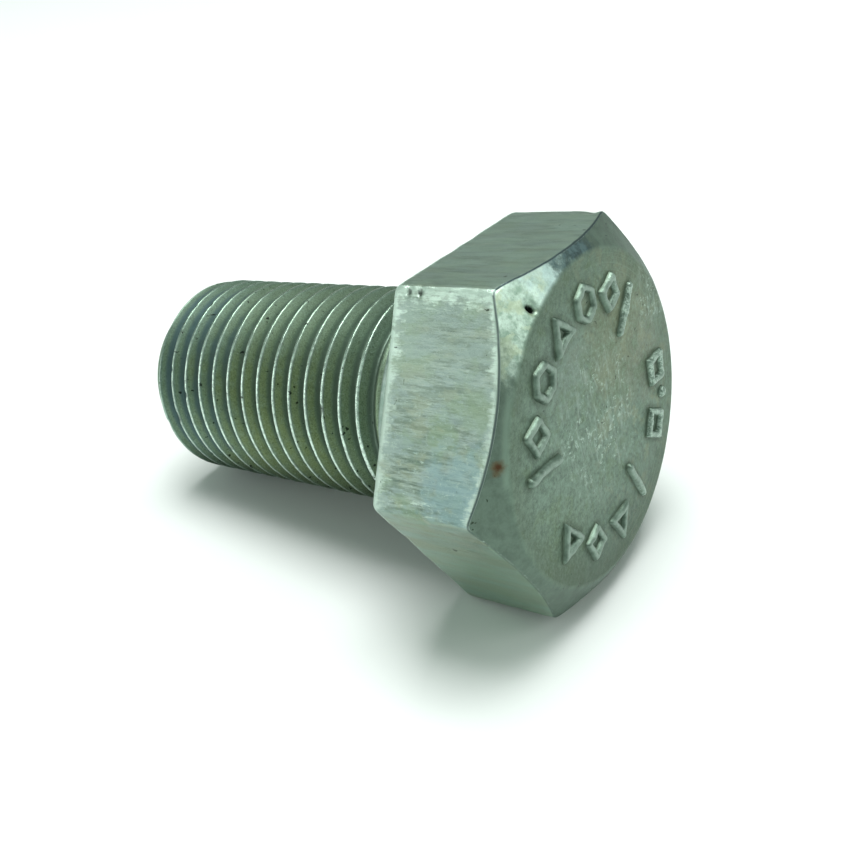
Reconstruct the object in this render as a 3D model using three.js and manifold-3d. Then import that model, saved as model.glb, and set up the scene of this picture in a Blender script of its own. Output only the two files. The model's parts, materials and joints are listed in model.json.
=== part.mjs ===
// A fully threaded hexagon-head bolt, 1/2-20 UNF, lying on one wrench flat and its thread end.
//
// The bolt is drawn in its own frame, in millimetres: its axis is X, the threaded end points to -X,
// the head to +X, and X = 0 is the underside of the hexagon. Angles round the axis run from +Y to +Z.
// The finished group is then tipped into its rest position on the plane Z = 0.
import * as THREE from "three";
import { mergeVertices } from "three/addons/utils/BufferGeometryUtils.js";
import Module from "manifold-3d";

// Head
const ACROSS_FLATS = 18.5;
const HEX_HEIGHT = 7.0;
const TOP_CIRCLE_RADIUS = 8.65;
const CHAMFER_ANGLE = 33;
const WASHER_FACE_RADIUS = 8.8;
const WASHER_FACE_THICKNESS = 0.5;
const WASHER_FACE_BREAK = 0.15;

// Shank and thread: a right-hand 60 degree thread of 20 turns to the inch
const MAJOR_RADIUS = 6.3;
const PITCH = 1.27;
const THREAD_DEPTH = 0.6134 * PITCH;
const CREST_WIDTH = PITCH / 8;
const FLANK_ANGLE = 30;
const THREAD_PHASE = 0.17;
const LENGTH_UNDER_HEAD = 21.7;
const NECK_LENGTH = 1.9;
const NECK_RADIUS = 5.9;
const NECK_FILLET = 0.55;
const RUNOUT_LENGTH = 1.3;
const POINT_LENGTH = 1.6;
const END_FACE_RADIUS = 5.2;

// Raised marks forged on top of the head, placed by the circle and angle of their middles
const MARK_HEIGHT = 0.28;
const MARK_CIRCLE_RADIUS = 6.4;
const MARK_SIZE = 1.15;
const MARK_STROKE = 0.5;
const DIVIDER_WIDTH = 0.6;
const DIVIDER_LENGTH = 3.1;
const DIVIDER_CIRCLE_RADIUS = 5.85;
const DIVIDER_ANGLES = [50, 176, 297];
const DOT_RADIUS = 0.42;
const DOT_CIRCLE_RADIUS = 7.1;
const DOT_ANGLE = 344.5;

// Smoothness of the round surfaces
const THREAD_SEGMENTS = 36;
const ROUND_SEGMENTS = 72;
const FILLET_STEPS = 4;

const radians = THREE.MathUtils.degToRad;
const FLANK_LENGTH = THREAD_DEPTH * Math.tan(radians(FLANK_ANGLE));
const BEARING_X = -WASHER_FACE_THICKNESS;
const BEARING_INNER_RADIUS = NECK_RADIUS + NECK_FILLET + 0.05;
const NECK_END_X = BEARING_X - NECK_LENGTH;
const END_X = BEARING_X - LENGTH_UNDER_HEAD;
const POINT_START_X = END_X + POINT_LENGTH;
const DRAWN_ALONG_X = new THREE.Matrix4().makeBasis(
  new THREE.Vector3(0, 1, 0),
  new THREE.Vector3(0, 0, 1),
  new THREE.Vector3(1, 0, 0),
);

const wasm = await Module();
wasm.setup();

/** A closed geometry as a solid, with its shared vertices merged and its collapsed faces dropped. */
function solidOf(geometry) {
  const bare = geometry.clone();
  bare.deleteAttribute("normal");
  bare.deleteAttribute("uv");
  const merged = mergeVertices(bare, 1e-4);
  const faces = [];
  for (let i = 0; i < merged.index.count; i += 3) {
    const [a, b, c] = [0, 1, 2].map((corner) => merged.index.getX(i + corner));
    if (a !== b && b !== c && c !== a) faces.push(a, b, c);
  }
  const vertProperties = merged.attributes.position.array;
  return new wasm.Manifold(new wasm.Mesh({ numProp: 3, vertProperties, triVerts: new Uint32Array(faces) }));
}

/** A solid as a three.js geometry. */
function geometryOf(solid) {
  const { vertProperties, triVerts } = solid.getMesh();
  const geometry = new THREE.BufferGeometry();
  geometry.setAttribute("position", new THREE.BufferAttribute(new Float32Array(vertProperties), 3));
  geometry.setIndex(new THREE.BufferAttribute(new Uint32Array(triVerts), 1));
  geometry.computeVertexNormals();
  return geometry;
}

/** A solid of revolution about X through [x, radius] points that start and end on the axis. */
function turned(outline, segments) {
  const points = outline.map(([x, radius]) => new THREE.Vector2(radius, x));
  return new THREE.LatheGeometry(points, segments).rotateZ(-Math.PI / 2);
}

/** A flat outline, drawn in Y and Z, given a thickness along X. */
function raised(shape, thickness) {
  const geometry = new THREE.ExtrudeGeometry(shape, { depth: thickness, bevelEnabled: false });
  return geometry.applyMatrix4(DRAWN_ALONG_X);
}

/** A regular polygon outline with its first corner at the given angle. */
function polygon(corners, radius, firstAngle = 0) {
  const points = [];
  for (let i = 0; i < corners; i++) {
    const angle = radians(firstAngle) + (i * 2 * Math.PI) / corners;
    points.push(new THREE.Vector2(radius * Math.cos(angle), radius * Math.sin(angle)));
  }
  return new THREE.Shape(points);
}

/** The same outline as a frame of even width, with a smaller copy of itself cut out. */
function polygonFrame(corners, radius, firstAngle = 0) {
  const frame = polygon(corners, radius, firstAngle);
  const inset = MARK_STROKE / Math.cos(Math.PI / corners);
  frame.holes.push(polygon(corners, radius - inset, firstAngle));
  return frame;
}

/** Thread radius at a place on the shank: the 60 degree section, fading into the neck near the head. */
function threadRadius(x, turnShare) {
  const turns = (x - NECK_END_X) / PITCH - turnShare - THREAD_PHASE;
  const pastCrestStart = (turns - Math.floor(turns)) * PITCH;
  const beyondCrest = Math.max(Math.min(pastCrestStart - CREST_WIDTH, PITCH - pastCrestStart), 0);
  const depth = Math.min(beyondCrest / Math.tan(radians(FLANK_ANGLE)), THREAD_DEPTH);
  const fullness = THREE.MathUtils.clamp((NECK_END_X - x) / RUNOUT_LENGTH, 0, 1);
  return THREE.MathUtils.lerp(NECK_RADIUS, MAJOR_RADIUS - depth, fullness);
}

/**
 * Threaded rod between two planes. A lathed bar has one row of vertices on each edge of the thread
 * section, and each column of it is moved along by its share of a turn, so the rows become helices.
 */
function threadedRod(fromX, toX) {
  const sectionEdges = [0, CREST_WIDTH, CREST_WIDTH + FLANK_LENGTH, PITCH - FLANK_LENGTH];
  const firstTurn = Math.floor((fromX - NECK_END_X) / PITCH - THREAD_PHASE) - 1;
  const lastTurn = Math.ceil((toX - NECK_END_X) / PITCH - THREAD_PHASE);
  const rows = [];
  for (let turn = firstTurn; turn <= lastTurn; turn++) {
    for (const edge of sectionEdges) rows.push({ turn, edge });
  }
  const outline = [new THREE.Vector2(0, -1)];
  rows.forEach((row, i) => outline.push(new THREE.Vector2(1, i)));
  outline.push(new THREE.Vector2(0, rows.length));
  const rod = new THREE.LatheGeometry(outline, THREAD_SEGMENTS);
  const positions = rod.attributes.position;
  for (let i = 0; i < positions.count; i++) {
    const column = Math.floor(i / outline.length);
    const row = rows[(i % outline.length) - 1];
    const onAxisX = i % outline.length === 0 ? fromX : toX;
    const turnShare = column / THREAD_SEGMENTS;
    const angle = ((column % THREAD_SEGMENTS) / THREAD_SEGMENTS) * 2 * Math.PI;
    const freeX = row && NECK_END_X + (row.turn + turnShare + THREAD_PHASE) * PITCH + row.edge;
    const x = row ? THREE.MathUtils.clamp(freeX, fromX, toX) : onAxisX;
    const radius = row ? threadRadius(x, turnShare) : 0;
    positions.setXYZ(i, x, radius * Math.cos(angle), radius * Math.sin(angle));
  }
  return rod;
}

function hexHead() {
  const cornerRadius = ACROSS_FLATS / 2 / Math.cos(Math.PI / 6);
  const hexagon = raised(polygon(6, cornerRadius), HEX_HEIGHT);
  const reach = cornerRadius + 1;
  const coneX = HEX_HEIGHT - (reach - TOP_CIRCLE_RADIUS) * Math.tan(radians(CHAMFER_ANGLE));
  const envelope = turned(
    [
      [-1, 0],
      [-1, reach],
      [coneX, reach],
      [HEX_HEIGHT, TOP_CIRCLE_RADIUS],
      [HEX_HEIGHT, 0],
    ],
    ROUND_SEGMENTS,
  );
  return geometryOf(solidOf(hexagon).intersect(solidOf(envelope)));
}

function washerFace() {
  return turned(
    [
      [BEARING_X, 0],
      [BEARING_X, BEARING_INNER_RADIUS],
      [BEARING_X, WASHER_FACE_RADIUS - WASHER_FACE_BREAK],
      [BEARING_X + WASHER_FACE_BREAK, WASHER_FACE_RADIUS],
      [0, WASHER_FACE_RADIUS],
      [0, 0],
    ],
    ROUND_SEGMENTS,
  );
}

function underheadNeck() {
  const outline = [
    [NECK_END_X, 0],
    [NECK_END_X, NECK_RADIUS],
  ];
  for (let step = 0; step <= FILLET_STEPS; step++) {
    const angle = ((step / FILLET_STEPS) * Math.PI) / 2;
    const x = BEARING_X - NECK_FILLET * (1 - Math.sin(angle));
    outline.push([x, NECK_RADIUS + NECK_FILLET * (1 - Math.cos(angle))]);
  }
  outline.push([BEARING_X, 0]);
  return turned(outline, THREAD_SEGMENTS);
}

function threadedShank() {
  return geometryOf(solidOf(threadedRod(POINT_START_X, NECK_END_X)));
}

function chamferedPoint() {
  const envelope = turned(
    [
      [END_X, 0],
      [END_X, END_FACE_RADIUS],
      [POINT_START_X, MAJOR_RADIUS],
      [POINT_START_X + 1, MAJOR_RADIUS],
      [POINT_START_X + 1, 0],
    ],
    THREAD_SEGMENTS,
  );
  return geometryOf(solidOf(threadedRod(END_X, POINT_START_X)).intersect(solidOf(envelope)));
}

function dividerBar() {
  const halfLength = DIVIDER_LENGTH / 2;
  const halfWidth = DIVIDER_WIDTH / 2;
  const bar = new THREE.Shape();
  bar.moveTo(-halfLength + halfWidth, -halfWidth);
  bar.lineTo(halfLength - halfWidth, -halfWidth);
  bar.absarc(halfLength - halfWidth, 0, halfWidth, -Math.PI / 2, Math.PI / 2);
  bar.lineTo(-halfLength + halfWidth, halfWidth);
  bar.absarc(-halfLength + halfWidth, 0, halfWidth, Math.PI / 2, (3 * Math.PI) / 2);
  return raised(bar, MARK_HEIGHT);
}

/** Zinc-plated steel, cut or forged: each sub-part has its own copy, a little lighter or darker. */
function zincPlate(colour, roughness) {
  return new THREE.MeshStandardMaterial({ color: colour, roughness, metalness: 0.9 });
}

function part(name, geometry, colour, roughness) {
  const mesh = new THREE.Mesh(geometry, zincPlate(colour, roughness));
  mesh.name = name;
  return mesh;
}

/** A raised mark on the head, placed by the angle and radius of its middle. */
function headMark(name, geometry, angle, radius = MARK_CIRCLE_RADIUS) {
  const mesh = part(name, geometry, 0x93a196, 0.45);
  mesh.rotation.x = radians(angle);
  mesh.position.set(HEX_HEIGHT, radius * Math.cos(radians(angle)), radius * Math.sin(radians(angle)));
  return mesh;
}

/** The marks between the three dividers: plain lozenges, hexagons, triangles and squares, and a dot. */
function headMarks() {
  const marks = DIVIDER_ANGLES.map((angle, i) =>
    headMark(`divider_bar_${i + 1}`, dividerBar(), angle, DIVIDER_CIRCLE_RADIUS),
  );
  const outlines = {
    lozenge: () => polygonFrame(4, MARK_SIZE),
    hexagon: () => polygonFrame(6, MARK_SIZE),
    triangle: () => polygonFrame(3, MARK_SIZE * 1.2),
    square: () => polygonFrame(4, MARK_SIZE * 1.1, 45),
  };
  const groups = [
    { first: 68, step: 22.7, kinds: ["lozenge", "hexagon", "triangle", "hexagon", "lozenge"] },
    { first: 223, step: 25, kinds: ["triangle", "lozenge", "triangle"] },
    { first: 330, step: 28.5, kinds: ["square", "square"] },
  ];
  const made = {};
  for (const { first, step, kinds } of groups) {
    kinds.forEach((kind, i) => {
      made[kind] = (made[kind] ?? 0) + 1;
      const mark = raised(outlines[kind](), MARK_HEIGHT);
      marks.push(headMark(`${kind}_mark_${made[kind]}`, mark, first + i * step));
    });
  }
  const dot = raised(polygon(10, DOT_RADIUS), MARK_HEIGHT);
  marks.push(headMark("dot_mark", dot, DOT_ANGLE, DOT_CIRCLE_RADIUS));
  return marks;
}

/** Tips the bolt about Y until a wrench flat and the last full crest of the thread share a plane. */
function layDown(bolt) {
  const crestTurn = Math.ceil((POINT_START_X - NECK_END_X) / PITCH - 0.75 - THREAD_PHASE);
  const lowestCrestX = NECK_END_X + (crestTurn + 0.75 + THREAD_PHASE) * PITCH;
  bolt.rotation.y = -Math.atan2(ACROSS_FLATS / 2 - MAJOR_RADIUS, -lowestCrestX);
  bolt.updateMatrixWorld(true);
  const box = new THREE.Box3().setFromObject(bolt, true);
  const middle = box.getCenter(new THREE.Vector3());
  bolt.position.set(-middle.x, -middle.y, -box.min.z);
}

const bolt = new THREE.Group();
bolt.add(
  part("hex_head", hexHead(), 0x8fa093, 0.4),
  part("washer_face", washerFace(), 0x9aa9a4, 0.35),
  part("underhead_neck", underheadNeck(), 0x66756c, 0.45),
  part("threaded_shank", threadedShank(), 0x6b7a66, 0.35),
  part("chamfered_point", chamferedPoint(), 0x7c8a80, 0.35),
  ...headMarks(),
);
layDown(bolt);

const object = new THREE.Group();
object.add(bolt);

export default object;
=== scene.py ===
import json
import math

import bpy
import numpy as np
from mathutils import Matrix, Vector, noise


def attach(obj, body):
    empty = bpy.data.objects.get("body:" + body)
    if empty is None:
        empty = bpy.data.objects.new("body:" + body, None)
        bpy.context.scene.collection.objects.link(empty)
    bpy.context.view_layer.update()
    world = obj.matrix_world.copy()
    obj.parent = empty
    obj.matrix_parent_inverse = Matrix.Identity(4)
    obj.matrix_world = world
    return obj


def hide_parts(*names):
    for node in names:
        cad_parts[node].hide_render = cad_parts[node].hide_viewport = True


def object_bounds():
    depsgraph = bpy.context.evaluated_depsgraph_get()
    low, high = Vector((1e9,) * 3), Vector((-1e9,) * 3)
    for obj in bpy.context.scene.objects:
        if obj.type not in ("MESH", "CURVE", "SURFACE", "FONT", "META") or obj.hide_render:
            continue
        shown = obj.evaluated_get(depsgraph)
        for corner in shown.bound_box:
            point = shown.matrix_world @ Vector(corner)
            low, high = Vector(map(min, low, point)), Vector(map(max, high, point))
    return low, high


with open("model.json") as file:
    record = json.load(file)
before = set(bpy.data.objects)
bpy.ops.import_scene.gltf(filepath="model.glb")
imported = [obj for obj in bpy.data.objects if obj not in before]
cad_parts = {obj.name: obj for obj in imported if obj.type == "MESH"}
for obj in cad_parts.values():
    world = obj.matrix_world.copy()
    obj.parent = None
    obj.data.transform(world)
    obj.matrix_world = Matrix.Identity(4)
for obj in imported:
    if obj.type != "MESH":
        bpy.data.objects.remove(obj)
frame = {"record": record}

CAD_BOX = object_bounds()
MM = 0.001

# Head
ACROSS_FLATS = 18.5
HEX_HEIGHT = 7.0
TOP_CIRCLE_RADIUS = 8.65
CHAMFER_ANGLE = math.radians(33)
WASHER_FACE_RADIUS = 8.8
BEARING_X = -0.5
# Where the washer face's visual piece ends, inside the hexagon
WASHER_FACE_TOP_X = 0.2
CORNER_SHARPNESS = 90
BEARING_RIM_EASE = 0.5
CHAMFER_EDGE_EASE = 0.1
TOP_EDGE_EASE = 0.15

# Shank and thread
MAJOR_RADIUS = 6.3
PITCH = 1.27
THREAD_DEPTH = 0.6134 * PITCH
CREST_WIDTH = PITCH / 8
FLANK_SLOPE = math.tan(math.radians(30))
THREAD_PHASE = 0.17
NECK_END_X = -2.4
NECK_RADIUS = 5.9
NECK_FILLET = 0.55
RUNOUT_LENGTH = 1.3
POINT_START_X = -20.6
END_X = -22.2
END_FACE_RADIUS = 5.2
CREST_EASE = 0.035
ROOT_EASE = 0.09
# The depth share that surfaces without a groove are coloured as
BARE_DEPTH = 0.45

# Raised marks on top of the head
MARK_HEIGHT = 0.28
MARK_CIRCLE_RADIUS = 6.4
MARK_SIZE = 1.15
MARK_STROKE = 0.5
DIVIDER_WIDTH = 0.6
DIVIDER_LENGTH = 3.1
DIVIDER_CIRCLE_RADIUS = 5.85
DIVIDER_ANGLES = (50, 176, 297)
DOT_RADIUS = 0.42
DOT_CIRCLE_RADIUS = 7.1
DOT_ANGLE = 344.5
MARK_SHARPNESS = 14
# Each run of marks round the ring: its first angle, the step to the next, and their kinds
MARK_RUNS = (
    (68, 22.7, ("lozenge", "hexagon", "triangle", "hexagon", "lozenge")),
    (223, 25, ("triangle", "lozenge", "triangle")),
    (330, 28.5, ("square", "square")),
)
# Across half a stroke: how far from its middle, in half widths, and its height's share of the mark's height
MARK_SECTION = ((1.2, -0.25), (1.0, -0.02), (0.86, 0.18), (0.72, 0.52), (0.52, 0.82), (0.26, 0.97))
# How far a mark's outline wanders, and how far its feet are sunk
MARK_WANDER = 0.07
MARK_SINK = 0.02

# Dents in the head: place along the axis, degrees, radius, half widths along the axis and across, and depth
PIT = (6.76, 118, 9.02, (0.17, 0.2), 0.3)
NICKS = (
    (1.0, 121.0, 10.6, (0.14, 0.24), 0.14),
    (1.66, 121.0, 10.6, (0.15, 0.22), 0.16),
    (3.1, 180.5, 10.5, (0.2, 0.3), 0.07),
    (5.2, 61, 10.4, (0.3, 0.3), 0.1),
)

# Fineness of the meshes
HEAD_COLUMNS = 720
ROUND_COLUMNS = 288
THREAD_COLUMNS = 320
THREAD_ROWS = 26
MARK_COLUMNS = 96

# Zinc plate: how metallic it is, and its tints, as shares of their green
METALLIC = 0.85
PLATE = (0.7, 1.0, 0.79)
MINT = (0.8, 1.0, 0.87)
OLIVE = (0.7, 1.0, 0.62)
SLATE = (0.62, 1.0, 1.06)
OCHRE = (0.88, 1.0, 0.66)
ROSE = (0.9, 1.0, 0.8)
MOSS = (0.76, 1.0, 0.48)
TEAL = (0.56, 1.0, 0.88)
ICE = (0.76, 1.0, 1.0)
RUST = (0.12, 0.08, 0.035)
DARK_RUST = (0.07, 0.025, 0.008)

# Stained and worn places, and one place of painted highlight, each a centre and a radius
OLIVE_ON_FLAT = ((5.7, -8.2, 4.6), 1.3)
BLUE_ON_FLAT = ((5.0, -9.7, 1.0), 2.8)
PAINTED_GLINTS_ON_FLAT = ((2.6, -9.6, 2.4), 4.2)
SCUFFED_MIDDLE = ((HEX_HEIGHT, -0.4, 0.2), 5.2)
SCUFFED_RIM = ((6.9, 7.2, 4.0), 2.6)
RUST_PLACE = (6.7, -8.8, 2.3)
# Stains on top of the head: tint, level, centre, radius and strength
TOP_STAINS = (
    (OCHRE, 0.215, (HEX_HEIGHT, 3.2, 3.6), 5.4, 0.75),
    (ROSE, 0.21, (HEX_HEIGHT, 5.6, 0.8), 3.4, 0.6),
    (MINT, 0.25, (HEX_HEIGHT, -2.8, 4.4), 3.2, 0.5),
    (OLIVE, 0.17, (HEX_HEIGHT, -5.5, -5.0), 3.8, 0.5),
)

# Stretches round the head, in degrees: rise, full, end and gone
UPPER_FLAT = (58, 62, 118, 120)
LOWER_FLAT = (-181, -179, -122, -118)
# Where the lower flat is painted lighter towards its far corner
LOWER_FLAT_PAINTED_LIGHT = (-172, -148, -122, -118)
PALE_STRIP = (140, 146, 168, 176)
# A frosted band of the chamfer, also painted as highlight
FROST_AND_HIGHLIGHT = (95, 104, 127, 144)
# Where the chamfer is painted with a dark bluish reflection
PAINTED_DARK_REFLECTION = (75, 84, 93, 104)

# Studio
CAMERA_AZIMUTH = math.radians(38.46)
CAMERA_ELEVATION = math.radians(31.73)
CAMERA_TILT = math.radians(-6.17)
CAMERA_DISTANCE = 52.0
CAMERA_AIM = Vector((5.58, -3.66, -0.17))
CAMERA_LENS = 41.2
# Name, direction, distance, width and height in metres, and brightness
SOFTBOXES = (
    ("front_left_softbox", (-0.64, -0.71, 0.3), 0.32, 0.2, 0.16, 1.55),
    ("overhead_softbox", (-0.03, 0.12, 1.0), 0.8, 0.45, 0.45, 11.0),
    ("right_softbox", (0.78, 0.32, 0.56), 0.32, 0.14, 0.14, 2.4),
)
FLOOR_HALF = 1.5
FLOOR_COLOUR = (0.77, 0.8, 0.785)
ROOM_AT_HORIZON = (0.4, 0.475, 0.435)
ROOM_OVERHEAD = (0.345, 0.42, 0.38)

# The bolt's frame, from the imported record
MOUNTS = {mount["name"]: mount for mount in frame["record"]["mounts"]}
AXIS = -Vector(MOUNTS["end_face"]["axis"]).normalized()
SIDE = Vector((0, 1, 0))
UP = AXIS.cross(SIDE)
ORIGIN = Vector(MOUNTS["end_face"]["pos_m"]) - AXIS * END_X * MM


# ---------------------------------------------------------------- geometry


def in_world(points):
    """Points in the bolt's frame, in millimetres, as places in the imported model, in metres."""
    return np.array(ORIGIN) + MM * points @ np.array([AXIS, SIDE, UP])


def round_grid(x, radius, angles):
    """Rows by columns of points, from the place along the axis and the radius of each."""
    x, radius, angles = np.broadcast_arrays(x, radius, angles)
    return np.stack([x, radius * np.cos(angles), radius * np.sin(angles)], -1)


def ripple(points, size, offset=0.0):
    """Smooth noise from -1 to 1 at each point, with features of the given size in millimetres."""
    flat = points.reshape(-1, 3) / size + offset
    return np.array([noise.noise(Vector(p)) for p in flat]).reshape(points.shape[:-1])


def smooth(value, low, high):
    """0 below low, 1 above high, and a smooth step between them."""
    share = np.clip((value - low) / (high - low), 0, 1)
    return share * share * (3 - 2 * share)


def piece(name, grid, values, replaced, material, rim_rows=()):
    """Joins a grid of points, rows by columns, into one closed mesh that stands for a CAD node.

    Points that coincide become one, which closes the grid round its columns and at its poles. values holds
    rows by columns of numbers that the material reads. The edges along rim_rows are sharp."""
    rows, columns = grid.shape[:2]
    points = grid.reshape(-1, 3)
    rounded = np.round(points, 5) + 0.0
    _, first, index = np.unique(rounded, axis=0, return_index=True, return_inverse=True)
    index = index.reshape(rows, columns)
    corners = [index[:-1, :-1], index[:-1, 1:], index[1:, 1:], index[1:, :-1]]
    faces = []
    for quad in np.stack(corners, -1).reshape(-1, 4).tolist():
        face = [vertex for place, vertex in enumerate(quad) if vertex != quad[place - 1]]
        if len(face) > 2:
            faces.append(face)
    if signed_volume(points[first], faces) < 0:
        faces = [face[::-1] for face in faces]
    mesh = bpy.data.meshes.new(name)
    mesh.from_pydata(in_world(points[first]).tolist(), [], faces)
    mesh.polygons.foreach_set("use_smooth", [True] * len(mesh.polygons))
    on_rim = np.zeros(len(first), bool)
    for row in rim_rows:
        on_rim[index[row]] = True
    ends = np.zeros(2 * len(mesh.edges), int)
    mesh.edges.foreach_get("vertices", ends)
    mesh.edges.foreach_set("use_edge_sharp", on_rim[ends.reshape(-1, 2)].all(1))
    place = mesh.attributes.new("bolt", "FLOAT_VECTOR", "POINT")
    place.data.foreach_set("vector", points[first].astype(np.float32).ravel())
    for key, numbers in values.items():
        spread = np.broadcast_to(numbers, (rows, columns)).reshape(-1)[first]
        attribute = mesh.attributes.new(key, "FLOAT", "POINT")
        attribute.data.foreach_set("value", spread.astype(np.float32))
    mesh.materials.append(material)
    mesh.update()
    made = bpy.data.objects.new(name, mesh)
    bpy.context.scene.collection.objects.link(made)
    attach(made, "root")
    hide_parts(replaced)


def signed_volume(points, faces):
    """Six times the volume that the faces close, negative when they face inwards."""
    fans = [(face[0], face[k], face[k + 1]) for face in faces for k in range(1, len(face) - 1)]
    a, b, c = (points[[fan[k] for fan in fans]] for k in range(3))
    return np.einsum("ij,ij->", a, np.cross(b, c))


def eased_outline(corners, steps, ease_steps=6):
    """Rows along an outline of (x, radius, ease) corners, each inner corner eased into a curve.

    Also gives each row's zone: the number of the stretch that it is on, and in between along a corner."""
    places = [np.stack(np.broadcast_arrays(x, radius * 1.0)) for x, radius, _ in corners]
    rows, zones = [places[0]], [0.0]
    for k in range(1, len(places)):
        to_last = k == len(places) - 1
        ease = corners[k][2]
        corner = places[k]
        back = places[k - 1] - corner
        start = corner if to_last else corner + ease * back / np.linalg.norm(back, axis=0)
        left = rows[-1]
        for share in np.linspace(0, 1, steps[k - 1] + 1)[1:]:
            rows.append(left + (start - left) * share)
            zones.append(k - 1.0)
        if to_last:
            break
        ahead = places[k + 1] - corner
        end = corner + ease * ahead / np.linalg.norm(ahead, axis=0)
        for share in np.linspace(0, 1, ease_steps + 1)[1:]:
            rows.append((1 - share) ** 2 * start + 2 * share * (1 - share) * corner + share**2 * end)
            zones.append(k - 1 + share)
    rows = np.array(rows)
    return rows[:, 0], rows[:, 1], np.array(zones)[:, None]


def polygon_radius(angles, sides, apothem, first_corner, sharpness):
    """Radius of a regular polygon with softened corners, at each angle."""
    total = 0
    for side in range(sides):
        normal = first_corner + (side + 0.5) * 2 * math.pi / sides
        total = total + np.clip(np.cos(angles - normal), 0, 1) ** sharpness
    return apothem / total ** (1 / sharpness)


# ---------------------------------------------------------------- materials


class Look:
    """A procedural metal, built node by node. Places are in the bolt's frame, in millimetres."""

    def __init__(self, name):
        self.material = bpy.data.materials.new(name)
        self.material.use_nodes = True
        self.tree = self.material.node_tree
        self.tree.nodes.clear()
        self.place = self.value("bolt", "Vector")

    def add(self, kind, inputs, **settings):
        node = self.tree.nodes.new(kind)
        for key, setting in settings.items():
            setattr(node, key, setting)
        for key, value in inputs.items():
            if isinstance(value, bpy.types.NodeSocket):
                self.tree.links.new(value, node.inputs[key])
            else:
                node.inputs[key].default_value = value
        return node

    def value(self, name, output="Fac"):
        return self.add("ShaderNodeAttribute", {}, attribute_name=name).outputs[output]

    def math(self, operation, a, b=0.0, clamp=False):
        node = self.add("ShaderNodeMath", {0: a, 1: b}, operation=operation, use_clamp=clamp)
        return node.outputs[0]

    def plus(self, a, b):
        return self.math("ADD", a, b)

    def times(self, a, b):
        return self.math("MULTIPLY", a, b)

    def without(self, value, share=1.0):
        """1 where value is 0, and less by a share of the value elsewhere."""
        return self.math("SUBTRACT", 1.0, self.times(value, share))

    def stretched(self, factors):
        node = self.add("ShaderNodeVectorMath", {0: self.place, 1: factors}, operation="MULTIPLY")
        return node.outputs[0]

    def noise(self, scale, detail=3.0, roughness=0.55, vector=None, distortion=0.0):
        inputs = {
            "Vector": vector or self.place,
            "Scale": scale,
            "Detail": detail,
            "Roughness": roughness,
            "Distortion": distortion,
        }
        return self.add("ShaderNodeTexNoise", inputs).outputs["Fac"]

    def rings(self, scale):
        """Fine rings round the bolt's axis, as turning leaves them."""
        place = self.add("ShaderNodeCombineXYZ", {0: self.times(self.from_axis(), scale)}).outputs[0]
        return self.noise(1.0, 3.0, 0.7, place)

    def step(self, value, low, high):
        """0 at low, 1 at high, and a smooth step between them. low may be the greater."""
        inputs = {"Value": value, "From Min": low, "From Max": high}
        return self.add("ShaderNodeMapRange", inputs, interpolation_type="SMOOTHSTEP").outputs[0]

    def span(self, value, low, high):
        """A 0 to 1 value spread over low to high."""
        return self.add("ShaderNodeMapRange", {"Value": value, "To Min": low, "To Max": high}).outputs[0]

    def mix(self, share, a, b):
        """Colour a where share is 0, and colour b where it is 1."""
        node = self.add("ShaderNodeMix", {0: share}, data_type="RGBA")
        for socket, colour in ((6, a), (7, b)):
            if isinstance(colour, bpy.types.NodeSocket):
                self.tree.links.new(colour, node.inputs[socket])
            else:
                node.inputs[socket].default_value = (*colour, 1)
        return node.outputs[2]

    def over(self, below, colour, share, strength=1.0):
        """A colour laid over the one below it, where share is 1, at a strength."""
        return self.mix(self.times(share, strength), below, colour)

    def axes(self):
        """The place's X, Y and Z."""
        return self.add("ShaderNodeSeparateXYZ", {0: self.place}).outputs[:]

    def from_axis(self):
        """How far the place is from the bolt's axis."""
        across = self.stretched((0, 1, 1))
        return self.add("ShaderNodeVectorMath", {0: across}, operation="LENGTH").outputs["Value"]

    def degrees_round(self):
        """The place's angle round the bolt's axis, from -180 to 180 degrees."""
        _, y, z = self.axes()
        return self.times(self.math("ARCTAN2", z, y), 180 / math.pi)

    def between(self, value, rise, full, end, gone):
        """Rises from 0 to 1 between rise and full, and falls again between end and gone."""
        return self.times(self.step(value, rise, full), self.step(value, gone, end))

    def patch(self, centre, radius, ragged=0.5):
        """A round patch with a ragged, soft edge."""
        inputs = {0: self.place, 1: centre}
        distance = self.add("ShaderNodeVectorMath", inputs, operation="DISTANCE").outputs["Value"]
        wander = self.times(self.math("SUBTRACT", self.noise(1.3, 4.0), 0.5), 2 * ragged * radius)
        return self.without(self.step(self.plus(distance, wander), 0.35 * radius, radius))

    def zone(self, number):
        """1 on one stretch of an eased outline, fading over the corners next to it."""
        away = self.math("ABSOLUTE", self.math("SUBTRACT", self.value("zone"), float(number)))
        return self.math("SUBTRACT", 1.0, away, clamp=True)

    def finish(self, colour, roughness, height, depth_mm):
        """The material, with bumps of the given depth where height goes from 0 to 1."""
        bump = self.add("ShaderNodeBump", {"Height": height, "Strength": 1.0, "Distance": depth_mm * MM})
        inputs = {
            "Base Color": colour,
            "Roughness": roughness,
            "Metallic": METALLIC,
            "Normal": bump.outputs[0],
        }
        shader = self.add("ShaderNodeBsdfPrincipled", inputs)
        output = self.add("ShaderNodeOutputMaterial", {})
        self.tree.links.new(shader.outputs[0], output.inputs["Surface"])
        return self.material


def shade(tint, level):
    """A tint, whose green is 1, at a level of brightness."""
    return tuple(level * channel for channel in tint)


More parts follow.
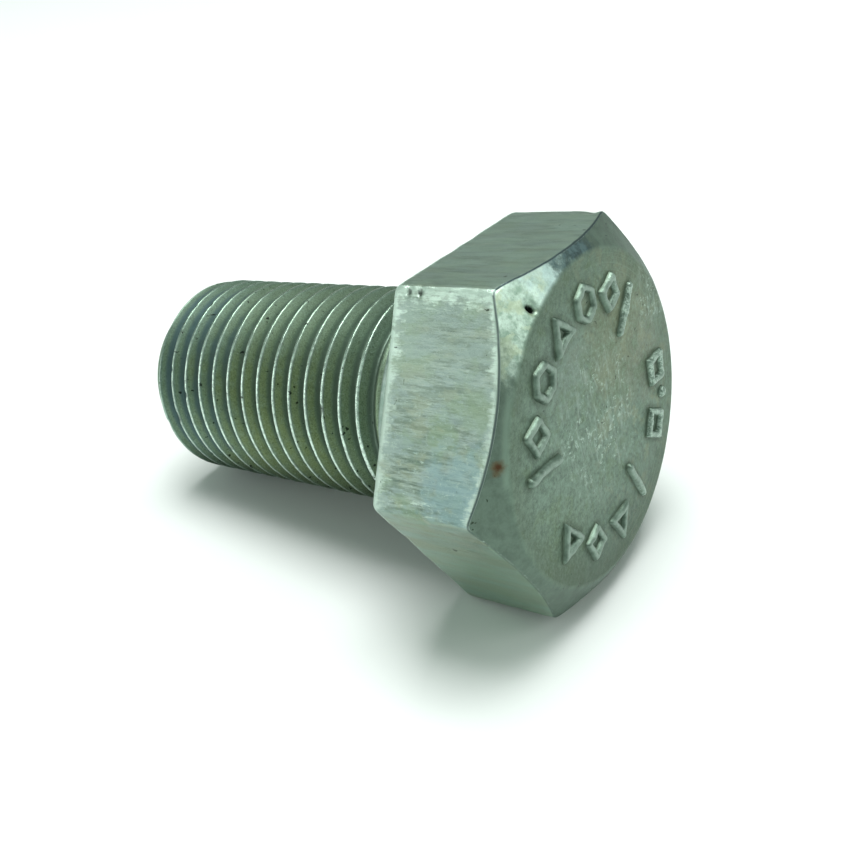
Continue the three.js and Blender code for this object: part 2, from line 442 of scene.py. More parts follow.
def top_colour(look, mottle, fine, arcs, near_rim):
    """The forged top: stained, with chips and smears rubbed bare, and turned arcs near one side's rim."""
    _, y, z = look.axes()
    top = look.mix(look.step(mottle, 0.32, 0.68), shade(PLATE, 0.17), shade(PLATE, 0.275))
    for tint, level, centre, radius, strength in TOP_STAINS:
        top = look.over(top, shade(tint, level), look.patch(centre, radius), strength)
    stains = look.noise(0.75, 6.0, 0.7, distortion=0.6)
    stained = look.times(look.step(stains, 0.5, 0.6), look.step(y, -4, 2))
    top = look.over(top, shade(OCHRE, 0.27), stained, 0.6)
    top = look.over(top, shade(OLIVE, 0.2), look.step(stains, 0.48, 0.38), 0.6)
    top = look.over(top, shade(PLATE, 0.38), look.step(fine, 0.46, 0.66), 0.45)
    top = look.over(top, shade(OLIVE, 0.1), look.step(fine, 0.46, 0.3), 0.5)
    # Painted shade: the top is darker towards its lower side
    top = look.over(top, shade(PLATE, 0.09), look.step(z, -2.5, -8.5), 0.5)
    top = look.over(top, shade(OLIVE, 0.11), look.step(look.from_axis(), 6.6, 8.4), 0.4)

    scuffed = look.math("MAXIMUM", look.patch(*SCUFFED_MIDDLE), look.patch(*SCUFFED_RIM))
    clusters = look.step(look.noise(0.8, 4.0, 0.7, distortion=0.5), 0.43, 0.55)
    chips = look.step(look.noise(3.6, 7.0, 0.75, distortion=0.5), 0.53, 0.59)
    top = look.over(top, shade(MINT, 0.6), look.times(chips, look.times(scuffed, clusters)), 0.75)
    smears = look.step(look.noise(1.0, 5.0, 0.7, look.stretched((1.0, 2.8, 0.6))), 0.5, 0.62)
    top = look.over(top, shade(MINT, 0.42), look.times(smears, scuffed), 0.5)
    return look.over(top, shade(PLATE, 0.36), look.times(look.step(arcs, 0.5, 0.64), near_rim), 0.4)


def flat_colour(look, streak, cloud, fine):
    """The brushed flats: stained in patches, with streaks of painted highlight on one, and painted lighter
    high up. The upper and the lower one are duller, and the lower one is painted lighter towards one end.
    """
    _, _, z = look.axes()
    degrees = look.degrees_round()
    broad_streak = look.noise(1.0, 4.0, 0.65, look.stretched((0.25, 1.3, 1.3)))
    flat = look.mix(look.step(streak, 0.36, 0.64), shade(PLATE, 0.17), shade(MINT, 0.43))
    flat = look.over(flat, shade(PLATE, 0.25), look.step(broad_streak, 0.44, 0.6), 0.4)
    flat = look.over(flat, shade(OLIVE, 0.34), look.step(cloud, 0.48, 0.6), 0.5)
    hue = look.noise(0.8, 4.0, 0.6, look.stretched((0.7, 1.6, 1.6)))
    flat = look.over(flat, shade(ICE, 0.42), look.step(hue, 0.5, 0.6), 0.4)
    flat = look.over(flat, shade(OCHRE, 0.36), look.step(hue, 0.47, 0.38), 0.35)
    flat = look.over(flat, shade(OLIVE, 0.3), look.patch(*OLIVE_ON_FLAT, 0.7), 0.6)
    flat = look.over(flat, shade(SLATE, 0.37), look.patch(*BLUE_ON_FLAT, 1.0), 0.5)
    flat = look.over(flat, shade(MINT, 0.55), look.step(fine, 0.55, 0.68), 0.35)
    # Painted highlight: bright glinting streaks on one flat
    painted_glints = look.step(look.noise(1.0, 5.0, 0.7, look.stretched((1.1, 4.0, 4.0))), 0.6, 0.7)
    flat = look.over(flat, shade(MINT, 0.7), look.times(painted_glints, look.patch(*PAINTED_GLINTS_ON_FLAT)), 0.8)
    # Painted light: the flats are lighter high up
    flat = look.over(flat, shade(MINT, 0.52), look.step(z, 3, 6.5), 0.3)

    banded = look.step(broad_streak, 0.42, 0.6)
    upper = look.mix(banded, shade(PLATE, 0.19), shade(PLATE, 0.3))
    flat = look.over(flat, upper, look.between(degrees, *UPPER_FLAT), 0.55)
    lower = look.mix(banded, shade(OCHRE, 0.29), shade(PLATE, 0.37))
    flat = look.over(flat, lower, look.between(degrees, *LOWER_FLAT), 0.55)
    # Painted light: the lower flat is lighter towards its far corner
    return look.over(flat, shade(PLATE, 0.65), look.between(degrees, *LOWER_FLAT_PAINTED_LIGHT), 0.3)


def chamfer_colour(look, mottle, fine):
    """The chamfer: dark, with a pale strip, a frosted band round one corner that is lit up as painted
    highlight, and beside it a painted dark bluish reflection.
    """
    degrees = look.plus(look.degrees_round(), look.span(look.noise(0.9, 5.0, 0.65), -15, 15))
    chamfer = look.mix(look.step(mottle, 0.3, 0.7), shade(PLATE, 0.145), shade(PLATE, 0.21))
    strip = look.times(look.step(look.from_axis(), 9.1, 8.8), look.between(degrees, *PALE_STRIP))
    chamfer = look.over(chamfer, shade(PLATE, 0.3), strip, 0.8)
    # Frosted texture, painted bright as highlight, brightest towards the corner
    frost_and_highlight = look.mix(look.step(mottle, 0.34, 0.66), shade(PLATE, 0.42), shade(MINT, 0.8))
    frost_and_highlight = look.over(frost_and_highlight, shade(PLATE, 0.24), look.step(fine, 0.5, 0.3), 0.45)
    frost_and_highlight = look.over(frost_and_highlight, shade(OCHRE, 0.62), look.step(look.noise(1.0, 4.0, 0.6), 0.5, 0.6), 0.45)
    frost_and_highlight = look.over(frost_and_highlight, shade(ICE, 0.7), look.step(degrees, 118, 106), 0.6)
    chamfer = look.mix(look.between(degrees, *FROST_AND_HIGHLIGHT), chamfer, frost_and_highlight)
    # Painted reflection: a dark bluish patch on the chamfer
    blue = look.mix(look.step(mottle, 0.42, 0.6), shade(SLATE, 0.085), shade(SLATE, 0.18))
    return look.over(chamfer, blue, look.between(degrees, *PAINTED_DARK_REFLECTION), 0.9)


def head_zinc():
    """Dull forged skin on top, brighter brushed flats and a mottled chamfer, with worn edges, lighter high
    up as painted highlight, and painted shade round the marks' feet, along the flats' edges and in the
    dents.
    """
    look = Look("zinc_head")
    cloud = look.noise(0.45, 4.0, 0.6)
    mottle = look.noise(1.7, 6.0, 0.68)
    fine = look.noise(5.5, 4.0, 0.7)
    grain = look.noise(13.0, 3.0, 0.6)
    streak = look.noise(1.0, 6.0, 0.75, look.stretched((0.6, 5.0, 5.0)))
    on_flat, on_chamfer, on_top = look.zone(1), look.zone(2), look.zone(3)
    _, y, z = look.axes()
    arcs = look.rings(6.0)
    near_rim = look.times(look.step(look.from_axis(), 7.0, 7.8), look.step(y, -1.0, 4.0))
    near_rim = look.times(near_rim, on_top)

    colour = look.mix(look.step(mottle, 0.35, 0.65), shade(PLATE, 0.2), shade(PLATE, 0.3))
    colour = look.mix(on_flat, colour, flat_colour(look, streak, cloud, fine))
    colour = look.mix(on_chamfer, colour, chamfer_colour(look, mottle, fine))
    colour = look.mix(on_top, colour, top_colour(look, mottle, fine, arcs, near_rim))

    from_edge = look.plus(look.value("edge"), look.span(mottle, -0.85, 0.85))
    from_edge = look.plus(from_edge, look.span(streak, -1.3, 1.3))
    # Worn edges, bare and bright: partly wear, and lighter high up as painted highlight
    bare = look.mix(look.step(z, 4, 9), shade(MINT, 0.64), shade(MINT, 0.85))
    colour = look.over(colour, bare, look.step(from_edge, 0.8, 0.1), 0.85)
    # Painted shade: a dark line along the eased edges between the flats and the chamfer
    colour = look.over(colour, shade(SLATE, 0.06), look.value("painted_edge_shade"))
    # Painted shade: the top is darker round the foot of each raised mark
    mark_foot_shade = look.times(look.value("mark_foot_shade"), look.span(cloud, 0.1, 0.75))
    colour = look.over(colour, shade(OLIVE, 0.07), mark_foot_shade)
    # Painted shade: the pit and the nicks are darkened inside
    colour = look.over(colour, shade(PLATE, 0.006), look.value("dent_shade"))
    pinholes = look.step(look.noise(2.3, 2.0, 0.5, distortion=0.4), 0.72, 0.76)
    colour = look.over(colour, shade(OLIVE, 0.03), pinholes, 0.8)
    colour = look.over(colour, RUST, look.patch(RUST_PLACE, 0.52, 1.0), 0.7)
    colour = look.over(colour, DARK_RUST, look.patch(RUST_PLACE, 0.28, 0.9), 0.85)

    roughness = look.mix(on_flat, look.span(mottle, 0.42, 0.58), look.span(streak, 0.3, 0.46))
    height = look.times(look.times(streak, on_flat), 0.5)
    height = look.plus(height, look.times(look.times(arcs, near_rim), 0.6))
    height = look.plus(height, look.times(grain, 0.3))
    height = look.plus(height, look.times(fine, 0.5))
    height = look.plus(height, look.times(mottle, 0.9))
    return look.finish(colour, roughness, height, 0.035)


def bearing_zinc():
    """Turned face: fine rings round the axis."""
    look = Look("zinc_bearing")
    rings = look.rings(9.0)
    mottle = look.noise(1.5, 5.0, 0.65)
    colour = look.mix(look.step(mottle, 0.35, 0.65), shade(PLATE, 0.27), shade(MINT, 0.4))
    colour = look.over(colour, shade(SLATE, 0.2), rings, 0.4)
    height = look.plus(rings, look.times(mottle, 0.5))
    return look.finish(colour, look.span(rings, 0.28, 0.42), height, 0.012)


def thread_zinc():
    """Olive flanks, painted lighter deeper in the groove and on top and darker underneath, with crests
    rubbed bright that are also painted highlight. The groove's bottom is darkened as painted shade, and
    blue near the tip.

    The flat end face has turning marks."""
    look = Look("zinc_thread")
    depth = look.value("depth")
    x, _, z = look.axes()
    mottle = look.noise(1.9, 5.0, 0.65)
    cloud = look.noise(0.35, 3.0)
    grain = look.noise(14.0, 3.0, 0.6)
    fine = look.noise(6.0, 4.0, 0.7)
    # Painted light: the flanks are lighter deeper in the groove, against the groove's own shade
    shallow = look.mix(look.step(cloud, 0.35, 0.65), shade(PLATE, 0.19), shade(OLIVE, 0.21))
    colour = look.mix(look.step(depth, 0.05, 0.85), shallow, shade(OLIVE, 0.34))
    mossy = look.times(look.between(depth, 0.06, 0.2, 0.45, 0.7), look.span(cloud, 0.6, 1.3))
    colour = look.over(colour, shade(MOSS, 0.28), mossy)
    tip_end = look.step(look.plus(x, look.span(cloud, -6, 6)), -13, -19)
    colour = look.over(colour, shade(TEAL, 0.25), tip_end, 0.5)
    colour = look.over(colour, shade(PLATE, 0.33), look.step(x, -8, -3.5), 0.5)
    colour = look.over(colour, shade(PLATE, 0.37), look.step(mottle, 0.45, 0.7), 0.35)
    # Painted light: the thread is lighter and even over its top
    colour = look.over(colour, shade(PLATE, 0.28), look.step(z, 3.0, 5.8), 0.7)
    # Painted shade: the thread is darker towards its underside
    colour = look.over(colour, shade(OLIVE, 0.1), look.step(z, -1.2, -5.0), 0.75)
    colour = look.over(colour, shade(OLIVE, 0.09), look.step(fine, 0.48, 0.3), 0.5)
    colour = look.over(colour, shade(OLIVE, 0.08), look.step(grain, 0.5, 0.36), 0.45)
    colour = look.over(colour, shade(PLATE, 0.5), look.step(grain, 0.54, 0.68), 0.3)
    # Painted shade: a dark strip at the bottom of the groove, bluish near the tip
    bottom = look.mix(tip_end, shade(PLATE, 0.155), shade(SLATE, 0.165))
    at_bottom = look.step(look.plus(depth, look.times(tip_end, 0.2)), 0.46, 0.76)
    off_point = look.step(x, END_X + 0.7, POINT_START_X)
    colour = look.over(colour, bottom, look.times(at_bottom, off_point), 0.9)

    worn_depth = look.plus(depth, look.span(mottle, -0.02, 0.04))
    worn_depth = look.math("SUBTRACT", worn_depth, look.times(look.step(x, -4.9, -3.7), 0.06))
    # Bright crests: partly rubbed wear, partly painted highlight, which fades towards the top, the tip and
    # the underside
    crest = look.step(worn_depth, 0.08, 0.01)
    less_crest_highlight_above = look.without(look.step(z, 4.0, 5.7), 0.95)
    dull_tip = look.without(look.step(x, -17, -20.5), 0.5)
    less_crest_highlight_below = look.without(look.step(z, -0.5, -4.5), 0.85)
    rubbed = look.times(look.times(less_crest_highlight_above, dull_tip), less_crest_highlight_below)
    beads = look.step(look.noise(4.5, 3.0, 0.6), 0.4, 0.58)
    bright = look.mix(beads, shade(MINT, 0.56), shade(MINT, 0.88))
    colour = look.over(colour, bright, look.times(crest, rubbed))

    specks = look.step(look.noise(2.6, 2.0, 0.5), 0.69, 0.73)
    colour = look.over(colour, shade(PLATE, 0.012), specks, 0.9)
    colour = look.over(colour, shade(PLATE, 0.05), look.value("nick"), 0.7)
    flecks = look.step(look.noise(7.0, 3.0, 0.6), 0.68, 0.72)
    colour = look.over(colour, shade(MINT, 0.45), flecks, 0.5)
    on_end = look.step(x, END_X + 0.1, END_X + 0.02)
    faced = look.rings(3.5)
    colour = look.over(colour, shade(PLATE, 0.15), look.times(look.step(faced, 0.5, 0.62), on_end), 0.75)
    colour = look.over(colour, shade(MINT, 0.4), look.times(look.step(mottle, 0.46, 0.68), on_end), 0.35)

    roughness = look.mix(crest, look.span(mottle, 0.38, 0.55), (0.25, 0.25, 0.25))
    height = look.plus(look.times(grain, 0.5), mottle)
    height = look.plus(height, look.times(look.times(faced, on_end), 1.5))
    return look.finish(colour, roughness, height, 0.02)


def mark_zinc():
    """Like the skin round it, with painted shade at the foot, rubbed lighter on the ridge, which is also
    painted highlight, and frosted on one side.
    """
    look = Look("zinc_marks")
    mottle = look.noise(2.4, 6.0, 0.7)
    fine = look.noise(6.0, 5.0, 0.75)
    height = look.value("height")
    _, y, _ = look.axes()
    colour = look.mix(look.step(mottle, 0.35, 0.65), shade(PLATE, 0.17), shade(PLATE, 0.26))
    # Lighter on the ridge: partly rubbed wear, partly painted highlight
    rubbed = look.step(look.times(height, look.span(mottle, 0.6, 1.4)), 0.62, 1.05)
    colour = look.over(colour, shade(MINT, 0.42), rubbed, 0.55)
    frosted = look.times(look.step(fine, 0.45, 0.6), look.step(y, 1.5, 4.5))
    colour = look.over(colour, shade(MINT, 0.7), look.times(frosted, look.step(height, 0.1, 0.5)), 0.7)
    # Painted shade at the foot of the mark
    foot = look.without(look.step(height, 0.05, 0.5))
    colour = look.over(colour, shade(OLIVE, 0.09), foot, 0.7)
    return look.finish(colour, look.span(mottle, 0.36, 0.52), mottle, 0.03)


# ---------------------------------------------------------------- pieces


def mark_places():
    """Name, kind, angle and circle radius of every raised mark."""
    places = []
    for i, angle in enumerate(DIVIDER_ANGLES):
        places.append((f"divider_bar_{i + 1}", "bar", angle, DIVIDER_CIRCLE_RADIUS))
    made = {}
    for first, step, kinds in MARK_RUNS:
        for i, kind in enumerate(kinds):
            made[kind] = made.get(kind, 0) + 1
            places.append((f"{kind}_mark_{made[kind]}", kind, first + i * step, MARK_CIRCLE_RADIUS))
    places.append(("dot_mark", "dot", DOT_ANGLE, DOT_CIRCLE_RADIUS))
    return places


def stadium(half_length, radius):
    """A long round-ended loop. At radius 0 it folds flat on to its own middle line."""
    quarter = MARK_COLUMNS // 4
    half_circle = np.linspace(-math.pi / 2, math.pi / 2, quarter + 1)
    straight = np.linspace(-half_length, half_length, quarter + 1)
    end_u, end_v = half_length + radius * np.cos(half_circle), radius * np.sin(half_circle)
    u = np.concatenate([end_u, straight[::-1], -end_u, straight])
    v = np.concatenate([end_v, 0 * straight + radius, -end_v, 0 * straight - radius])
    return np.append(u, u[0]), np.append(v, v[0])


def mark_rings(kind):
    """The mark's loops, from its foot over its ridge: two arrays of places in its own frame, U outwards and
    V round the ring, and each loop's height."""
    if kind in ("bar", "dot"):
        half_width = DIVIDER_WIDTH / 2 if kind == "bar" else DOT_RADIUS
        half_length = DIVIDER_LENGTH / 2 - half_width if kind == "bar" else 0.0
        section = [(0.0, MARK_SECTION[0][1]), *MARK_SECTION, (0.0, 1.0)]
        loops = np.array([stadium(half_length, across * half_width) for across, _ in section])
        return loops[:, 0], loops[:, 1], [high for _, high in section]
    sides, size, first = {
        "lozenge": (4, MARK_SIZE, 0),
        "hexagon": (6, MARK_SIZE, 0),
        "triangle": (3, MARK_SIZE * 1.2, 0),
        "square": (4, MARK_SIZE * 1.1, math.pi / 4),
    }[kind]
    angles = np.linspace(0, 2 * math.pi, MARK_COLUMNS + 1)
    middle = size * math.cos(math.pi / sides) - MARK_STROKE / 2
    inward = [(-across, high) for across, high in MARK_SECTION[::-1]]
    section = [*MARK_SECTION, (0.0, 1.0), *inward, MARK_SECTION[0]]
    apothems = [max(middle + across * MARK_STROKE / 2, 0.02) for across, _ in section]
    radii = [polygon_radius(angles, sides, apothem, first, MARK_SHARPNESS) for apothem in apothems]
    radii = np.array(radii)
    return radii * np.cos(angles), radii * np.sin(angles), [high for _, high in section]


def on_ring(u, v, degrees, circle):
    """Y and Z of places in a mark's own frame, which stands on a circle at an angle."""
    angle = math.radians(degrees)
    y = circle * math.cos(angle) + u * math.cos(angle) - v * math.sin(angle)
    z = circle * math.sin(angle) + u * math.sin(angle) + v * math.cos(angle)
    return y, z


def add_marks(material):
    for name, kind, degrees, circle in mark_places():
        u, v, heights = mark_rings(kind)
        y, z = on_ring(u, v, degrees, circle)
        high = np.broadcast_to(np.array(heights)[:, None], y.shape)
        grid = np.stack([0 * y, y, z], -1)
        uneven = 1 + 0.32 * ripple(grid, 1.1) + 0.14 * ripple(grid, 0.35, 7.0)
        wander = MARK_WANDER * np.stack([ripple(grid, 0.9, 20.0), ripple(grid, 0.9, 40.0)], -1)
        grid[..., 0] = HEX_HEIGHT + MARK_HEIGHT * np.where(high > 0, high * uneven, high) - MARK_SINK
        grid[..., 1:] += wander
        relief = name.replace("_mark", "_relief").replace("_bar", "_relief")
        piece(relief, grid, {"height": high}, name, material)


def mark_nearness(y, z):
    """1 close to a mark, falling to 0 a little way off it."""
    nearest = np.full(y.shape, TOP_CIRCLE_RADIUS)
    for _, kind, degrees, circle in mark_places():
        u, v, heights = mark_rings(kind)
        ridge = heights.index(1.0)
        ridge_y, ridge_z = on_ring(u[ridge, ::3], v[ridge, ::3], degrees, circle)
        for a, b in zip(ridge_y, ridge_z):
            nearest = np.minimum(nearest, np.hypot(y - a, z - b))
    return 1 - smooth(nearest, 0.3, 0.62)


def dent(grid, x, degrees, radius, size, depth):
    """A dent's depth at each point of a surface. size is its half widths, along the axis and across."""
    angle = math.radians(degrees)
    along = (grid[..., 0] - x) / size[0]
    y, z = grid[..., 1], grid[..., 2]
    across = (-y * math.sin(angle) + z * math.cos(angle)) / size[1]
    out = (y * math.cos(angle) + z * math.sin(angle) - radius) / 1.5
    return depth * np.exp(-(along**2) - across**2 - out**2)


def add_head(material):
    sector = np.arange(HEAD_COLUMNS + 1) / (HEAD_COLUMNS / 6)
    angles = (sector - 0.11 * np.sin(2 * math.pi * sector)) * math.pi / 3
    hexagon = polygon_radius(angles, 6, ACROSS_FLATS / 2, 0.0, CORNER_SHARPNESS)
    chamfer_x = HEX_HEIGHT - (hexagon - TOP_CIRCLE_RADIUS) * math.tan(CHAMFER_ANGLE)
    corners = (
        (0.0, 0 * angles, 0),
        (0.0, hexagon, BEARING_RIM_EASE),
        (chamfer_x, hexagon, CHAMFER_EDGE_EASE),
        (HEX_HEIGHT, TOP_CIRCLE_RADIUS + 0 * angles, TOP_EDGE_EASE),
        (HEX_HEIGHT, 0 * angles, 0),
    )
    x, radius, zone = eased_outline(corners, (16, 44, 16, 64))
    grid = round_grid(x, radius, angles)
    zone = np.broadcast_to(zone, x.shape)
    on_top = np.clip(zone - 2, 0, 1)
    on_corner = smooth(hexagon * np.ones_like(x), 10.2, 10.55)
    turning = 4 * (zone % 1) * (1 - zone % 1)

    swell = 0.03 * ripple(grid, 2.6) + 0.012 * ripple(grid, 0.9, 5.0)
    pebble = 0.018 * ripple(grid, 1.1, 11.0) + 0.008 * ripple(grid, 0.4, 17.0)
    wear = 0.05 * np.clip(ripple(grid, 0.8, 30.0), 0, 1) * np.maximum(turning, on_corner * (zone < 2))
    pits = dent(grid, *PIT)
    nicks = sum(dent(grid, *nick) for nick in NICKS)
    inward = wear + pits + nicks + swell * (1 - on_top)
    from_axis = np.maximum(np.linalg.norm(grid[..., 1:], axis=-1), 2.0)
    scale = 1 - inward / from_axis * (zone < 2.9) * (zone > 0.02)
    grid[..., 1:] *= scale[..., None]
    grid[..., 0] += on_top * (swell + pebble) - pits * np.clip(zone - 1, 0, 1)

    # How far each point is from its side's edges, stretched where an edge is less worn. It is also
    # stretched low down and on the upper and lower flats, which keeps the edges' painted highlight high up.
    across = hexagon * np.sin((angles % (math.pi / 3)) - math.pi / 6)
    to_corner = ACROSS_FLATS / 2 * math.tan(math.pi / 6) - np.abs(across)
    side_z = grid[..., 2]
    corner_wear = 0.75 + 3.0 * (1 - smooth(side_z, 2.0, 7.0))
    corner_edge = to_corner * corner_wear + 0.75 * (1 - smooth(side_z, 0.5, 4.0))
    edge = np.minimum(np.minimum(0.8 * x, 1.6 * (chamfer_x - x)), corner_edge)
    on_upper_flat = np.abs(angles - math.pi / 2) < math.radians(29.5)
    on_lower_flat = smooth(angles, math.radians(178), math.radians(184)) * (angles < math.radians(240))
    edge = edge * (1 + 2.5 * (1 - smooth(side_z, -2.5, -0.3)) + 2.5 * on_upper_flat)
    edge = edge + 0.7 * on_upper_flat + 0.8 * on_lower_flat
    edge = np.where(zone < 0.9, hexagon - radius, np.where(zone < 1.9, np.maximum(edge, 0), 2.0))
    # Painted shade along the eased edges between flats and chamfer, stronger on the upper flat and weaker
    # on the lower one
    painted_edge_shade = smooth(turning, 0.2, 0.9) * (zone > 1) * (zone < 2)
    values = {
        "zone": zone,
        "edge": edge,
        "painted_edge_shade": (0.8 + 0.2 * on_upper_flat - 0.5 * on_lower_flat) * painted_edge_shade,
        # Painted shade round the marks' feet, on the top only
        "mark_foot_shade": mark_nearness(grid[..., 1], grid[..., 2]) * (zone > 2.6),
        # Painted shade inside the pit and the nicks
        "dent_shade": np.clip(smooth(pits, 0.1, 0.2) + 0.8 * smooth(nicks, 0.06, 0.1), 0, 1),
    }
    piece("forged_hex_head", grid, values, "hex_head", material)


def add_washer_face(material):
    angles = np.linspace(0, 2 * math.pi, ROUND_COLUMNS + 1)
    level = 0 * angles
    corners = (
        (BEARING_X, level, 0),
        (BEARING_X, level + WASHER_FACE_RADIUS, 0.18),
        (WASHER_FACE_TOP_X, level + WASHER_FACE_RADIUS, 0.05),
        (WASHER_FACE_TOP_X, level, 0),
    )
    x, radius, zone = eased_outline(corners, (24, 5, 12))
    grid = round_grid(x, radius, angles)
    grid[..., 0] += 0.008 * ripple(grid, 1.2) * (zone < 1)
    piece("turned_washer_face", grid, {"zone": zone}, "washer_face", material)


def soft_max(a, b, ease):
    """The greater of two, with the corner between them eased."""
    return (a + b + np.sqrt((a - b) ** 2 + ease**2)) / 2


def rolled_wander(points):
    """How far a rolled surface is from true."""
    return 0.012 * ripple(points, 1.6, 60.0) + 0.01 * ripple(points, 0.4, 70.0)


def thread_surface(x, share, angles):
    """Radius, depth share and bruises of the thread at places on the shank."""
    turns = (x - NECK_END_X) / PITCH - share - THREAD_PHASE
    past_crest = ((turns - CREST_WIDTH / 2 / PITCH + 0.5) % 1 - 0.5) * PITCH
    sloping = (np.abs(past_crest) - CREST_WIDTH / 2) / FLANK_SLOPE
    depth = -soft_max(-soft_max(sloping, 0.0 * sloping, CREST_EASE), 0 * sloping - THREAD_DEPTH, ROOT_EASE)
    depth = np.clip(depth, 0, THREAD_DEPTH)
    fullness = np.clip((NECK_END_X - x) / RUNOUT_LENGTH, 0, 1)
    radius = NECK_RADIUS + (MAJOR_RADIUS - depth - NECK_RADIUS) * fullness
    cone = END_FACE_RADIUS + (x - END_X) * (MAJOR_RADIUS - END_FACE_RADIUS) / (POINT_START_X - END_X)
    share_down = np.clip((MAJOR_RADIUS - radius) / THREAD_DEPTH, 0, 1)
    share_down = np.where(cone < radius, BARE_DEPTH, share_down)
    radius = np.where(x < POINT_START_X + 0.2, -soft_max(-radius, -cone, 0.02), radius)
    place = round_grid(x, radius, angles)
    crest = 1 - smooth(depth, 0.0, 0.16)
    bruise = smooth(ripple(place, 0.7, 50.0), 0.45, 0.65) * crest * fullness
    return radius + rolled_wander(place) - 0.06 * bruise, share_down, bruise


def thread_piece(name, from_x, to_x, replaced, material, face_rings=0):
    """Threaded rod between two planes, with rows of points that follow the helix."""
    share = np.arange(THREAD_COLUMNS + 1) / THREAD_COLUMNS
    angles = share * 2 * math.pi
    first_turn = math.floor((from_x - NECK_END_X) / PITCH - THREAD_PHASE) - 1
    last_turn = math.ceil((to_x - NECK_END_X) / PITCH - THREAD_PHASE) + 1
    turns = np.arange(first_turn * THREAD_ROWS, last_turn * THREAD_ROWS + 1) / THREAD_ROWS
    free_x = NECK_END_X + (turns[:, None] + share + THREAD_PHASE) * PITCH + CREST_WIDTH / 2
    x = np.clip(free_x, from_x, to_x)
    radius, depth, bruise = thread_surface(x, share, angles)
    inner = np.linspace(0, 1, face_rings + 2)[:-1, None]
    start, end = radius[:1] * inner, radius[-1:] * inner[::-1]
    grid = np.concatenate([
        round_grid(from_x, start, angles),
        round_grid(x, radius, angles),
        round_grid(to_x, end, angles),
    ])
    rim_rows = (len(start), len(start) + len(x) - 1)
    values = {
        "depth": np.concatenate([0 * start + BARE_DEPTH, depth, 0 * end + BARE_DEPTH]),
        "nick": np.concatenate([0 * start, bruise, 0 * end]),
    }
    piece(name, grid, values, replaced, material, rim_rows)


def add_neck(material):
    angles = np.linspace(0, 2 * math.pi, THREAD_COLUMNS + 1)
    turns = np.linspace(0, math.pi / 2, 9)
    straight = np.linspace(NECK_END_X, BEARING_X - NECK_FILLET, 14)
    fillet_x = BEARING_X - NECK_FILLET * (1 - np.sin(turns[1:]))
    fillet_radius = NECK_RADIUS + NECK_FILLET * (1 - np.cos(turns[1:]))
    x = np.array([NECK_END_X, *straight, *fillet_x, BEARING_X])[:, None]
    radius = np.array([0.0, *(0 * straight + NECK_RADIUS), *fillet_radius, 0.0])[:, None]
    grid = round_grid(x, radius, angles)
    grid[..., 1:] *= 1 + rolled_wander(grid)[..., None] / NECK_RADIUS
    values = {"depth": BARE_DEPTH + 0 * x, "nick": 0 * x}
    piece("rolled_neck", grid, values, "underhead_neck", material, (1, len(x) - 2))


# ---------------------------------------------------------------- studio


def add_camera():
    """Looks down at the head from its left, close to, with a slight tilt."""
    middle = (Vector(CAD_BOX[0]) + Vector(CAD_BOX[1])) / 2
    level_share = math.cos(CAMERA_ELEVATION)
    back = Vector((
        math.sin(CAMERA_AZIMUTH) * level_share,
        -math.cos(CAMERA_AZIMUTH) * level_share,
        math.sin(CAMERA_ELEVATION),
    ))
    data = bpy.data.cameras.new("camera")
    data.sensor_width = 36
    data.lens = CAMERA_LENS
    data.clip_start = 0.001
    data.clip_end = 10
    camera = bpy.data.objects.new("camera", data)
    bpy.context.scene.collection.objects.link(camera)
    turn = back.to_track_quat("Z", "Y").to_matrix() @ Matrix.Rotation(CAMERA_TILT, 3, "Z")
    place = middle + MM * (CAMERA_AIM + back * CAMERA_DISTANCE)
    camera.matrix_world = Matrix.Translation(place) @ turn.to_4x4()
    bpy.context.scene.camera = camera


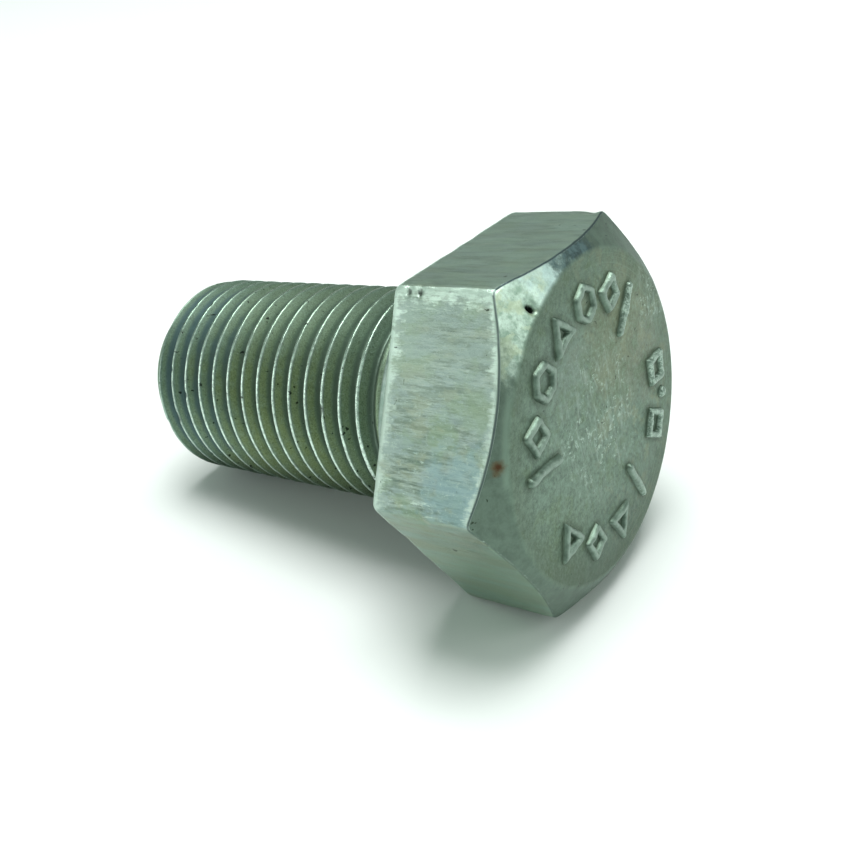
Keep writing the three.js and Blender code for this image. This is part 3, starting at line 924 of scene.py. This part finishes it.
def add_softbox(name, direction, distance, width, height, brightness):
    """A soft rectangular light that faces the bolt from a direction. Its power grows with its area, so its
    brightness is that of its surface."""
    data = bpy.data.lights.new(name, "AREA")
    data.shape = "RECTANGLE"
    data.size = width
    data.size_y = height
    data.energy = brightness * math.pi * width * height
    light = bpy.data.objects.new(name, data)
    bpy.context.scene.collection.objects.link(light)
    place = Vector(direction).normalized() * distance
    light.matrix_world = Matrix.Translation(place) @ place.to_track_quat("Z", "Y").to_matrix().to_4x4()


def add_floor():
    mesh = bpy.data.meshes.new("floor")
    corners = [(x * FLOOR_HALF, y * FLOOR_HALF, 0) for x, y in ((-1, -1), (1, -1), (1, 1), (-1, 1))]
    mesh.from_pydata(corners, [], [(0, 1, 2, 3)])
    material = bpy.data.materials.new("pale_floor")
    material.use_nodes = True
    shader = material.node_tree.nodes["Principled BSDF"]
    shader.inputs["Base Color"].default_value = (*FLOOR_COLOUR, 1)
    shader.inputs["Roughness"].default_value = 0.8
    shader.inputs["Specular IOR Level"].default_value = 0.1
    mesh.materials.append(material)
    floor = bpy.data.objects.new("floor", mesh)
    bpy.context.scene.collection.objects.link(floor)


def add_world():
    """An even pale room, a little darker overhead."""
    world = bpy.data.worlds.new("room")
    world.use_nodes = True
    tree = world.node_tree
    direction = tree.nodes.new("ShaderNodeTexCoord")
    parts = tree.nodes.new("ShaderNodeSeparateXYZ")
    ramp = tree.nodes.new("ShaderNodeValToRGB")
    ramp.color_ramp.elements[0].position = 0.0
    ramp.color_ramp.elements[0].color = (*ROOM_AT_HORIZON, 1)
    ramp.color_ramp.elements[1].position = 0.5
    ramp.color_ramp.elements[1].color = (*ROOM_OVERHEAD, 1)
    background = tree.nodes["Background"]
    tree.links.new(direction.outputs["Generated"], parts.inputs[0])
    tree.links.new(parts.outputs["Z"], ramp.inputs[0])
    tree.links.new(ramp.outputs[0], background.inputs["Color"])
    bpy.context.scene.world = world


add_camera()
add_floor()
add_world()
for softbox in SOFTBOXES:
    add_softbox(*softbox)
bpy.context.scene.view_settings.view_transform = "Standard"

thread_material = thread_zinc()
add_head(head_zinc())
add_washer_face(bearing_zinc())
add_neck(thread_material)
thread_piece("rolled_thread", POINT_START_X, NECK_END_X, "threaded_shank", thread_material)
thread_piece("thread_point", END_X, POINT_START_X, "chamfered_point", thread_material, face_rings=24)
add_marks(mark_zinc())
